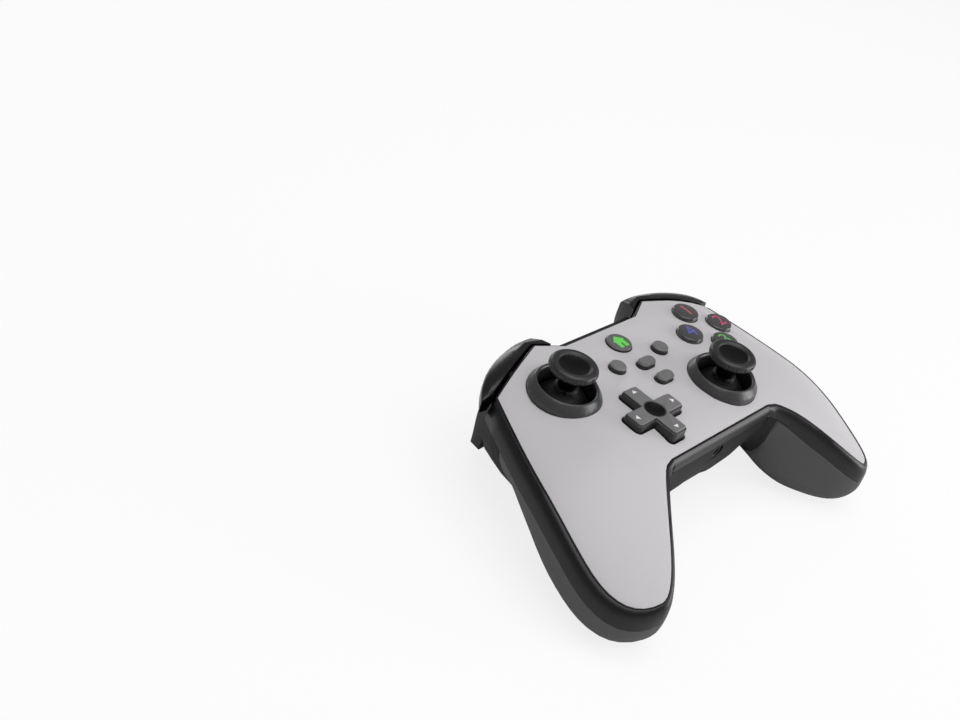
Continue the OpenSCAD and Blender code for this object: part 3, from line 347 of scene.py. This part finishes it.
def lay_on(obj, base, thickness=0.00004):
    """Drapes a flat mark over a button and gives it a little thickness"""
    pick(obj)
    bpy.ops.object.mode_set(mode="EDIT")
    bpy.ops.mesh.select_all(action="SELECT")
    bpy.ops.mesh.quads_convert_to_tris()
    bpy.ops.mesh.subdivide(number_cuts=2)
    bpy.ops.object.mode_set(mode="OBJECT")
    apply_modifier(obj, "SHRINKWRAP", target=base, wrap_method="PROJECT", use_project_z=True,
                   use_positive_direction=False, use_negative_direction=True, offset=MARK_GAP)
    apply_modifier(obj, "SOLIDIFY", thickness=thickness, offset=1)


def settings(context):
    scene = context.scene
    return scene.gamepad_shell, scene.gamepad_controls, scene.gamepad_stage


# Operators

class GAMEPAD_OT_stage(bpy.types.Operator):
    """Add the floor, the surroundings, the lights and the camera"""
    bl_idname = "gamepad.stage"
    bl_label = "Stage"
    FLOOR_SIZE = 6
    # Share of plain white in the floor that the camera sees; the rest keeps the shadow
    FLOOR_WHITE = 0.82
    SENSOR_WIDTH = 36
    CLIP_START = 0.01

    def floor(self, stage):
        bpy.ops.object.select_all(action="DESELECT")
        bpy.ops.mesh.primitive_plane_add(size=self.FLOOR_SIZE)
        floor = bpy.context.object
        floor.name = "floor"
        finish = Finish("floor_paper", roughness=0.9, specular_ior_level=0.1)
        cloud = finish.noise(0.4)
        finish.set(base_color=finish.mix(cloud, shade(stage.floor_colour, 0.99), stage.floor_colour))
        rays = finish.node("ShaderNodeLightPath").socket.node.outputs
        seen = Value(finish, rays["Is Camera Ray"]) * self.FLOOR_WHITE
        glow = finish.node("ShaderNodeEmission", inputs={"Color": (1, 1, 1, 1), "Strength": 1.0})
        shader = Value(finish, finish.shader.outputs[0])
        mixed = finish.node("ShaderNodeMixShader", inputs={0: seen, 1: shader, 2: glow})
        finish.tree.links.new(mixed.socket, finish.tree.nodes["Material Output"].inputs["Surface"])
        floor.data.materials.append(finish.material)

    def surroundings(self, stage):
        world = bpy.data.worlds.new("surroundings")
        world.use_nodes = True
        bpy.context.scene.world = world
        nodes, links = world.node_tree.nodes, world.node_tree.links
        lit, seen = nodes["Background"], nodes.new("ShaderNodeBackground")
        lit.inputs["Strength"].default_value = stage.world_level
        lit.inputs["Color"].default_value = (1, 1, 1, 1)
        seen.inputs["Color"].default_value = (1, 1, 1, 1)
        rays, mixed = nodes.new("ShaderNodeLightPath"), nodes.new("ShaderNodeMixShader")
        links.new(rays.outputs["Is Camera Ray"], mixed.inputs[0])
        links.new(lit.outputs[0], mixed.inputs[1])
        links.new(seen.outputs[0], mixed.inputs[2])
        links.new(mixed.outputs[0], nodes["World Output"].inputs["Surface"])

    def light(self, name, place, target, size, power):
        bpy.ops.object.light_add(type="AREA", location=place)
        lamp = bpy.context.object
        lamp.name = name
        lamp.data.size = size
        lamp.data.energy = power
        lamp.rotation_euler = (Vector(target) - Vector(place)).to_track_quat("-Z", "Y").to_euler()

    def camera(self, stage):
        forward, up = Vector(stage.camera_forward).normalized(), Vector(stage.camera_up)
        right = forward.cross(up).normalized()
        up = right.cross(forward)
        bpy.ops.object.camera_add()
        camera = bpy.context.object
        turn = Matrix((right, up, -forward)).transposed().to_4x4()
        camera.matrix_world = Matrix.Translation(stage.camera_at) @ turn
        camera.data.lens = stage.lens
        camera.data.sensor_width = self.SENSOR_WIDTH
        camera.data.clip_start = self.CLIP_START
        bpy.context.scene.camera = camera

    def execute(self, context):
        stage = settings(context)[2]
        context.scene.view_settings.view_transform = "Standard"
        self.floor(stage)
        self.surroundings(stage)
        self.light("top", place=(-0.08, -0.16, 1.1), target=(-0.02, -0.03, 0.03), size=1.1,
                   power=stage.top_power)
        self.light("key", place=(0.8, -0.85, 0.3), target=(0, 0, 0.03), size=0.7, power=stage.key_power)
        self.light("rim", place=(0.5, 1.0, 0.2), target=(0, 0, 0.03), size=0.4, power=stage.rim_power)
        self.camera(stage)
        return {"FINISHED"}


class GAMEPAD_OT_face_plate(bpy.types.Operator):
    """Finish the satin face plate"""
    bl_idname = "gamepad.face_plate"
    bl_label = "Face plate"

    def execute(self, context):
        shell = settings(context)[0]
        finish = moulded("plate_satin", shell.plate_colour, rough=0.42, grain=0.00018, depth=0.000006,
                         variation=0.012, specular_ior_level=0.4)
        skin("face_plate", finish, edge=0.0003, edge_angle=50)
        return {"FINISHED"}


class GAMEPAD_OT_front_shell(bpy.types.Operator):
    """Finish the black band round the plate and the bridge between the bumpers"""
    bl_idname = "gamepad.front_shell"
    bl_label = "Band and bridge"

    def execute(self, context):
        shell = settings(context)[0]
        finish = moulded("band_black", shell.band_colour, rough=0.36, grain=shell.grain, depth=0.000008,
                         variation=0.1, specular_ior_level=0.38)
        skin("front_shell", finish, smooth_angle=40)
        skin("bridge", finish, edge=shell.edge)
        return {"FINISHED"}


class GAMEPAD_OT_rear_shells(bpy.types.Operator):
    """Finish the rear cover, the two grip shells and the screws in them"""
    bl_idname = "gamepad.rear_shells"
    bl_label = "Rear shells"

    def execute(self, context):
        shell = settings(context)[0]
        rear = moulded("rear_matte", shell.rear_colour, rough=0.6, grain=shell.grain, depth=0.00003,
                       specular_ior_level=0.15)
        skin("rear_cover", rear, smooth_angle=40)
        grip = moulded("grip_matte", shell.grip_colour, rough=0.62, grain=shell.grain * 1.2, depth=0.00004,
                       specular_ior_level=0.3)
        for side in SIDES:
            skin(side + "_grip", grip, smooth_angle=40)
        skin("case_screws", metal("screw_steel", (0.18, 0.18, 0.185), rough=0.4), edge=0.0001)
        return {"FINISHED"}


class GAMEPAD_OT_thumb_sticks(bpy.types.Operator):
    """Finish bezels, caps and domes of the two thumb sticks, with a dust cup below each"""
    bl_idname = "gamepad.thumb_sticks"
    bl_label = "Thumb sticks"
    # The ribbed rim, which is painted lighter as a painted highlight: from this share of the cap's radius
    # outwards, this deep below its top
    RIM_SHARE = 0.62
    RIM_DEPTH = 0.0036
    CUP_SIDES = 96
    # Room between dome and cup, and the share of the cup's radius that is open in its floor
    CUP_ROOM = 0.0002
    CUP_OPEN = 0.84

    def cap_rubber(self, side, controls):
        finish = Finish(side + "_cap_rubber", specular_ior_level=0.45)
        low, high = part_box(side + "_stick_cap")
        x, y, z = finish.axes()
        across, along = x - (low.x + high.x) / 2, y - (low.y + high.y) / 2
        out = (across * across + along * along) ** 0.5
        radius = (high.x - low.x) / 2
        rim = (out > radius * self.RIM_SHARE) * (z > high.z - self.RIM_DEPTH)
        ribs = (along.angle_from(across) * float(controls.knurls)).sine() * 0.5 + 0.5
        speck = finish.noise(0.00025)
        cloud = finish.noise(0.006, detail=3)
        tint = controls.cap_colour
        # Painted shade: the dish inside the rim is painted at 0.4 to 0.6 of the cap's colour
        dish = finish.mix(cloud, shade(tint, 0.4), shade(tint, 0.6))
        # Painted highlight: the rim is painted at 1.7 times the cap's colour
        finish.set(base_color=finish.mix(rim, dish, shade(tint, 1.7)), metallic=(1 - rim) * 0.75,
                   roughness=cloud * 0.1 + speck * 0.08 + 0.3)
        finish.bump(ribs * rim * 0.5 + speck * 0.5, 0.00004)
        return finish

    def dust_cup(self, side, controls):
        """A thin cup below the bezel, which shuts off the view past a tilted dome"""
        low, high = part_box(side + "_bezel")
        pivot_low, pivot_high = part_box(side + "_saddle")
        dome_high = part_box(side + "_stick_dome")[1]
        base = (pivot_low.z + pivot_high.z) / 2 - controls.cup_drop
        radius = dome_high.z - base - controls.cup_drop + self.CUP_ROOM
        height = low.z - base
        bpy.ops.object.select_all(action="DESELECT")
        bpy.ops.mesh.primitive_cylinder_add(vertices=self.CUP_SIDES, radius=radius, depth=height,
                                            end_fill_type="NOTHING")
        cup = bpy.context.object
        cup.name = side + "_dust_cup"
        bpy.ops.object.mode_set(mode="EDIT")
        bpy.ops.mesh.select_mode(type="VERT")
        bpy.ops.mesh.select_all(action="DESELECT")
        bpy.ops.object.mode_set(mode="OBJECT")
        for vertex in cup.data.vertices:
            vertex.select = vertex.co.z < 0
        bpy.ops.object.mode_set(mode="EDIT")
        bpy.ops.mesh.extrude_region_move()
        bpy.ops.transform.resize(value=(self.CUP_OPEN, self.CUP_OPEN, 1))
        bpy.ops.object.mode_set(mode="OBJECT")
        settle(cup, ((low.x + high.x) / 2, (low.y + high.y) / 2, base + height / 2))
        apply_modifier(cup, "SOLIDIFY", thickness=controls.cup_wall, offset=1)
        pick(cup)
        bpy.ops.object.shade_smooth_by_angle(angle=math.radians(40))
        return cup

    def execute(self, context):
        controls = settings(context)[1]
        bezel = moulded("bezel_gunmetal", controls.bezel_colour, rough=0.32, grain=0.0002, depth=0.000005,
                        variation=0.08)
        dome = moulded("dome_black", controls.dome_colour, rough=0.5, grain=0.0003, depth=0.000006,
                       specular_ior_level=0.3)
        for side in SIDES:
            skin(side + "_bezel", bezel, edge=0.0002, smooth_angle=50)
            skin(side + "_stick_cap", self.cap_rubber(side, controls), smooth_angle=50)
            skin(side + "_stick_dome", dome, smooth_angle=50)
            cup = self.dust_cup(side, controls)
            dress(cup, dome, body_of_node[side + "_bezel"])
        return {"FINISHED"}


class GAMEPAD_OT_cross_pad(bpy.types.Operator):
    """Finish the cross pad with its glossy dish and its arrows"""
    bl_idname = "gamepad.cross_pad"
    bl_label = "Cross pad"
    # Depth of the light top face, whose sides below are painted dark as painted shade, and the dish's ring as
    # a share of its radius
    TOP_DEPTH = 0.00035
    RING_SHARE = 0.9
    # Radius of the dish and place of the arrows as shares of the pad's reach
    DISH_SHARE = 0.335
    ARROW_SHARE = 0.78
    ARROW_STRETCH = 0.8
    ARROW_THICKNESS = 0.00003

    def pad_finish(self, controls, centre, dish):
        finish = Finish("pad_satin", specular_ior_level=0.5)
        x, y, z = finish.axes()
        across, along = x - centre.x, y - centre.y
        out = (across * across + along * along) ** 0.5
        dark = out < dish
        top = z > centre.z - self.TOP_DEPTH
        cloud = finish.noise(0.008, detail=3)
        speck = finish.noise(0.0002)
        tint = controls.pad_colour
        face = finish.mix(cloud, shade(tint, 0.92), shade(tint, 1.08))
        # Painted shade: the pad's sides below the top face are painted at a tenth of its colour
        sides = finish.mix(top, shade(tint, 0.1), face)
        ring = dark * (out > dish * self.RING_SHARE)
        black = finish.mix(ring, (0.006, 0.006, 0.0062), (0.09, 0.09, 0.09))
        finish.set(base_color=finish.mix(dark, sides, black), metallic=dark * 0.85,
                   roughness=(1 - dark) * (cloud * 0.08 + 0.3) + dark * 0.45)
        finish.bump(speck * (1 - dark), 0.000006)
        return finish

    def execute(self, context):
        controls = settings(context)[1]
        centre = middle("cross_pad")
        low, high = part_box("cross_pad")
        reach = (high.x - low.x) / 2
        satin = self.pad_finish(controls, centre, reach * self.DISH_SHARE)
        skin("cross_pad", satin, edge=0.0003, edge_angle=40)
        paint = moulded("arrow_paint", (0.75, 0.75, 0.75), rough=0.5, grain=0.0002, depth=0.000003,
                        variation=0.03)
        for n, turn in enumerate((0, 90, 180, 270)):
            bpy.ops.object.select_all(action="DESELECT")
            bpy.ops.mesh.primitive_circle_add(vertices=3, radius=controls.arrow_size / math.sqrt(3),
                                              fill_type="NGON")
            arrow = bpy.context.object
            arrow.name = "pad_arrow_%d" % n
            arrow.scale.y = self.ARROW_STRETCH
            arrow.rotation_euler.z = math.radians(turn)
            step = Vector((0, reach * self.ARROW_SHARE, MARK_GAP))
            settle(arrow, centre + Matrix.Rotation(math.radians(turn), 3, "Z") @ step)
            apply_modifier(arrow, "SOLIDIFY", thickness=self.ARROW_THICKNESS, offset=1)
            dress(arrow, paint, "cross_pad")
        return {"FINISHED"}


class GAMEPAD_OT_face_buttons(bpy.types.Operator):
    """Finish the four domed face buttons with their numerals"""
    bl_idname = "gamepad.face_buttons"
    bl_label = "Face buttons"

    def execute(self, context):
        controls = settings(context)[1]
        smoke = moulded("button_smoke", controls.button_colour, rough=0.22, grain=0.0004, depth=0.000002,
                        variation=0.15, coat_weight=0.6, coat_roughness=0.08)
        inks = ((0.5, 0.1, 0.12), (0.55, 0.06, 0.16), (0.1, 0.42, 0.1), (0.1, 0.1, 0.5))
        for n, node in enumerate(FACE_BUTTONS):
            button = skin(node, smoke, edge=0.00015, smooth_angle=40)
            bpy.ops.object.select_all(action="DESELECT")
            bpy.ops.object.text_add()
            numeral = bpy.context.object
            numeral.name = node + "_numeral"
            numeral.data.body = str(n + 1)
            numeral.data.size = controls.numeral_size
            numeral.data.align_x = "CENTER"
            numeral.data.align_y = "CENTER"
            bpy.ops.object.convert(target="MESH")
            settle(numeral, middle(node) + MARK_LIFT)
            lay_on(numeral, button)
            ink = moulded(node + "_ink", inks[n], rough=0.35, grain=0.0003, depth=0.000002,
                          variation=0.1, coat_weight=0.6)
            dress(numeral, ink, body_of_node[node])
        return {"FINISHED"}


class GAMEPAD_OT_centre_buttons(bpy.types.Operator):
    """Finish the home button with its sign, and the small buttons"""
    bl_idname = "gamepad.centre_buttons"
    bl_label = "Centre buttons"
    # Depth of the light top face; the sides below it get painted shade
    TOP_DEPTH = 0.00065
    # The house as shares of its width: body, doorway, and how far body and roof stand from the middle
    BODY_SHARE, BODY_STRETCH, BODY_DROP = 0.74, 0.8, 0.22
    DOOR_HALF, DOOR_TOP = 0.05, 0.1
    ROOF_STRETCH, ROOF_RISE = 0.52, 0.2275

    def shaded_sides_finish(self, name, tint, node):
        finish = Finish(name, specular_ior_level=0.45)
        top = middle(node).z
        face = finish.axes()[2] > top - self.TOP_DEPTH
        cloud = finish.noise(0.005, detail=3)
        speck = finish.noise(0.0002)
        light = finish.mix(cloud, shade(tint, 0.93), shade(tint, 1.07))
        # Painted shade: the sides below the top face are painted at 0.12 of the button's colour
        finish.set(base_color=finish.mix(face, shade(tint, 0.12), light), roughness=cloud * 0.1 + 0.36)
        finish.bump(speck, 0.000006)
        return finish

    def house(self, size):
        """A small house: a body with a doorway, and a roof with eaves"""
        bpy.ops.object.select_all(action="DESELECT")
        bpy.ops.mesh.primitive_grid_add(x_subdivisions=5, y_subdivisions=3, size=size * self.BODY_SHARE)
        house = bpy.context.object
        house.scale.y = self.BODY_STRETCH
        bpy.ops.object.mode_set(mode="EDIT")
        bpy.ops.mesh.select_all(action="DESELECT")
        bpy.ops.object.mode_set(mode="OBJECT")
        for face in house.data.polygons:
            face.select = abs(face.center.x) < size * self.DOOR_HALF and face.center.y < size * self.DOOR_TOP
        bpy.ops.object.mode_set(mode="EDIT")
        bpy.ops.mesh.delete(type="FACE")
        bpy.ops.object.mode_set(mode="OBJECT")
        settle(house, (0, -size * self.BODY_DROP, 0))
        bpy.ops.object.select_all(action="DESELECT")
        bpy.ops.mesh.primitive_circle_add(vertices=3, radius=size / math.sqrt(3), fill_type="NGON")
        roof = bpy.context.object
        roof.scale.y = self.ROOF_STRETCH
        settle(roof, (0, size * self.ROOF_RISE, 0))
        house.select_set(True)
        bpy.context.view_layer.objects.active = house
        bpy.ops.object.join()
        return house

    def execute(self, context):
        controls = settings(context)[1]
        satin = self.shaded_sides_finish("home_satin", controls.home_colour, "home_button")
        home = skin("home_button", satin, edge=0.00012)
        sign = self.house(controls.sign_size)
        sign.name = "home_sign"
        settle(sign, middle("home_button") + MARK_LIFT)
        lay_on(sign, home)
        ink = moulded("sign_ink", controls.sign_colour, rough=0.4, grain=0.0003, depth=0.000002)
        dress(sign, ink, "home_button")
        small = self.shaded_sides_finish("small_satin", controls.small_colour, "left_round_button")
        for node in SMALL_BUTTONS:
            skin(node, small, edge=0.00012)
        return {"FINISHED"}


class GAMEPAD_OT_bumpers(bpy.types.Operator):
    """Finish the bumpers with their angled facets"""
    bl_idname = "gamepad.bumpers"
    bl_label = "Bumpers"

    def execute(self, context):
        shell = settings(context)[0]
        finish = moulded("bumper_gloss", shell.band_colour, rough=0.26, grain=shell.grain, depth=0.000003,
                         variation=0.1, specular_ior_level=0.4)
        for side in SIDES:
            skin(side + "_bumper", finish, edge=0.0003, edge_angle=24, smooth_angle=20)
        return {"FINISHED"}


class GAMEPAD_OT_triggers(bpy.types.Operator):
    """Finish the triggers, their brackets, pins and springs"""
    bl_idname = "gamepad.triggers"
    bl_label = "Triggers"

    def execute(self, context):
        shell = settings(context)[0]
        finish = moulded("trigger_gloss", shell.band_colour, rough=0.28, grain=shell.grain, depth=0.000004,
                         variation=0.1)
        for side in SIDES:
            skin(side + "_trigger", finish, edge=0.0004, edge_angle=40, smooth_angle=30)
        black = moulded("bracket_black", shade(shell.band_colour, 1.5), rough=0.5, grain=shell.grain,
                        depth=0.00001)
        steel = metal("pin_steel", (0.06, 0.06, 0.062), rough=0.35)
        skin("trigger_brackets", black, edge=0.0001)
        for node in ("trigger_pins", "bumper_pins", "trigger_springs"):
            coat(node, steel)
        return {"FINISHED"}


class GAMEPAD_OT_sockets(bpy.types.Operator):
    """Finish the audio and charging sockets"""
    bl_idname = "gamepad.sockets"
    bl_label = "Sockets"
    # Half the height and half the width of the charging socket's black tongue
    TONGUE_LEVEL = 0.0005
    TONGUE_HALF = 0.0036

    def usb_finish(self):
        finish = Finish("socket_nickel", specular_ior_level=0.5)
        low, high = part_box("usb_socket")
        x, y, z = finish.axes()
        level = z - (low.z + high.z) / 2
        thin = level.math("ABSOLUTE", level) < self.TONGUE_LEVEL
        tongue = thin * (x.math("ABSOLUTE", x) < self.TONGUE_HALF)
        speck = finish.noise(0.0002)
        finish.set(base_color=finish.mix(tongue, (0.6, 0.6, 0.6), (0.01, 0.01, 0.01)),
                   metallic=1 - tongue, roughness=speck * 0.1 + 0.25)
        return finish

    def execute(self, context):
        shell = settings(context)[0]
        black = moulded("socket_black", shell.rear_colour, rough=0.6, grain=0.0003, depth=0.00001)
        skin("audio_socket", black, edge=0.0001)
        skin("usb_socket", self.usb_finish(), edge=0.00006)
        return {"FINISHED"}


class GAMEPAD_OT_membranes(bpy.types.Operator):
    """Part the rubber membranes into sheets and domes"""
    bl_idname = "gamepad.membranes"
    bl_label = "Membranes"

    def part(self, node, cut):
        """The sheet below the cut, and the separate domes above it"""
        sheet = copy_of(node)
        pick(sheet)
        bpy.ops.object.mode_set(mode="EDIT")
        bpy.ops.mesh.select_mode(type="FACE")
        bpy.ops.mesh.select_all(action="SELECT")
        bpy.ops.mesh.bisect(plane_co=(0, 0, cut), plane_no=(0, 0, 1))
        bpy.ops.mesh.select_all(action="DESELECT")
        bpy.ops.object.mode_set(mode="OBJECT")
        for face in sheet.data.polygons:
            face.select = face.center.z > cut + WELD
        bpy.ops.object.mode_set(mode="EDIT")
        bpy.ops.mesh.separate(type="SELECTED")
        bpy.ops.object.mode_set(mode="OBJECT")
        domes = next(o for o in bpy.context.selected_objects if o != sheet)
        pick(domes)
        bpy.ops.mesh.separate(type="LOOSE")
        domes = list(bpy.context.selected_objects)
        for piece in (sheet, *domes):
            pick(piece)
            bpy.ops.object.mode_set(mode="EDIT")
            bpy.ops.mesh.select_all(action="SELECT")
            bpy.ops.mesh.fill_holes(sides=0)
            bpy.ops.object.mode_set(mode="OBJECT")
            bpy.ops.object.shade_smooth_by_angle(angle=math.radians(32))
        return sheet, domes

    def execute(self, context):
        controls = settings(context)[1]
        rubber = moulded("membrane_rubber", (0.38, 0.38, 0.39), rough=0.6, grain=0.0003, depth=0.00001)
        for node in ("button_membrane", "centre_membrane", "pad_membrane"):
            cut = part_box(node)[0].z + controls.sheet
            sheet, domes = self.part(node, cut)
            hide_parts(node)
            dress(sheet, rubber, body_of_node[node])
            for n, dome in enumerate(domes):
                dome.name = "%s_dome_%d" % (node, n)
                dress(dome, rubber, body_of_node[node])
                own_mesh(dome)
        return {"FINISHED"}


class GAMEPAD_OT_inner_works(bpy.types.Operator):
    """Finish board, battery, motors and stick mechanisms inside the shells"""
    bl_idname = "gamepad.inner_works"
    bl_label = "Inner works"

    def execute(self, context):
        lacquer = moulded("board_lacquer", (0.012, 0.09, 0.03), rough=0.3, grain=0.0005, depth=0.000003,
                          variation=0.15)
        chip = moulded("chip_black", (0.015, 0.015, 0.016), rough=0.5, grain=0.0003, depth=0.000005)
        wrap = moulded("cell_wrap", (0.1, 0.12, 0.14), rough=0.35, grain=0.001, depth=0.00001)
        pale = moulded("bearing_white", (0.68, 0.68, 0.64), rough=0.4, grain=0.0003, depth=0.000004)
        dark = moulded("cradle_dark", (0.08, 0.08, 0.082), rough=0.55, grain=0.0003, depth=0.00001)
        steel = metal("can_steel", (0.5, 0.5, 0.5), rough=0.3)
        iron = metal("weight_iron", (0.25, 0.24, 0.22), rough=0.5)
        finishes = {
            "main_board": lacquer, "board_chips": chip, "bumper_switches": chip, "battery": wrap,
            "pad_ball": pale, "pad_post": pale, "motor_cradles": dark,
        }
        for side in SIDES:
            skin(side + "_stick_frame", steel, edge=0.00045, edge_angle=60)
            finishes.update({
                side + "_stick_sensors": chip, side + "_spindle": pale,
                side + "_saddle": pale, side + "_arch": pale, side + "_motor": steel, side + "_weight": iron})
        for node, finish in finishes.items():
            coat(node, finish)
        return {"FINISHED"}


OPERATORS = (
    GAMEPAD_OT_stage, GAMEPAD_OT_face_plate, GAMEPAD_OT_front_shell, GAMEPAD_OT_rear_shells,
    GAMEPAD_OT_thumb_sticks, GAMEPAD_OT_cross_pad, GAMEPAD_OT_face_buttons, GAMEPAD_OT_centre_buttons,
    GAMEPAD_OT_bumpers, GAMEPAD_OT_triggers, GAMEPAD_OT_sockets, GAMEPAD_OT_membranes,
    GAMEPAD_OT_inner_works,
)


class GAMEPAD_PT_looks(bpy.types.Panel):
    """Lists the steps that finish the gamepad"""
    bl_idname = "GAMEPAD_PT_looks"
    bl_label = "Gamepad"
    bl_space_type = "VIEW_3D"
    bl_region_type = "UI"
    bl_category = "Gamepad"

    def draw(self, context):
        for group in settings(context):
            box = self.layout.box()
            for key in group.bl_rna.properties.keys():
                if key not in ("rna_type", "name"):
                    box.prop(group, key)
        for operator in OPERATORS:
            self.layout.operator(operator.bl_idname)


GROUPS = (GamepadShellSettings, GamepadControlSettings, GamepadStageSettings)


def register():
    for cls in (*GROUPS, *OPERATORS, GAMEPAD_PT_looks):
        bpy.utils.register_class(cls)
    bpy.types.Scene.gamepad_shell = PointerProperty(type=GamepadShellSettings)
    bpy.types.Scene.gamepad_controls = PointerProperty(type=GamepadControlSettings)
    bpy.types.Scene.gamepad_stage = PointerProperty(type=GamepadStageSettings)


def unregister():
    del bpy.types.Scene.gamepad_shell, bpy.types.Scene.gamepad_controls, bpy.types.Scene.gamepad_stage
    for cls in reversed((*GROUPS, *OPERATORS, GAMEPAD_PT_looks)):
        bpy.utils.unregister_class(cls)


def main():
    register()
    for operator in OPERATORS:
        getattr(bpy.ops.gamepad, operator.bl_idname.split(".")[1])()


if __name__ == "__main__":
    main()
